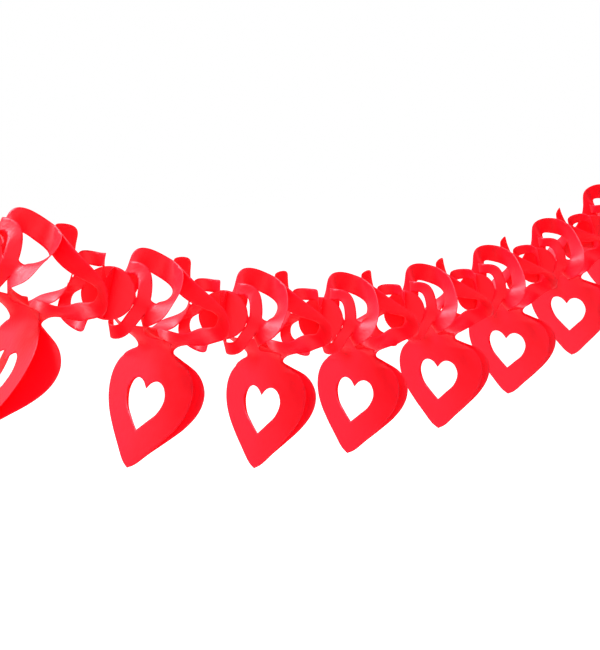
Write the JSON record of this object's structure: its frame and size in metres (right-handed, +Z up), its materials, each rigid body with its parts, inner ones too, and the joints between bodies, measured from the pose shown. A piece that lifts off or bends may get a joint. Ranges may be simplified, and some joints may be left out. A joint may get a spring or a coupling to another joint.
{
  "type": "tissue paper heart garland",
  "caption": "Hanging garland of cut tissue sheets pulled open into looped rings, with paired hearts below, each with a heart-shaped cut-out.",
  "frame": {"origin": "the glue line down the middle of the first disc, at the near end, halfway up the disc", "axes": "+X along the garland from the near end to the far end, +Y to its far side, +Z up"},
  "size_m": [0.767, 0.0923, 0.218],
  "materials": {
    "tissue": "thin matte tissue that lets light through"
  },
  "bodies": {
    "root": {"sheet_01": "tissue", "sheet_02": "tissue", "sheet_03": "tissue", "sheet_04": "tissue", "sheet_05": "tissue", "sheet_06": "tissue", "sheet_07": "tissue", "sheet_08": "tissue", "sheet_09": "tissue", "sheet_10": "tissue", "sheet_11": "tissue", "sheet_12": "tissue", "sheet_13": "tissue", "sheet_14": "tissue", "sheet_15": "tissue", "sheet_16": "tissue"}
  },
  "joints": []
}
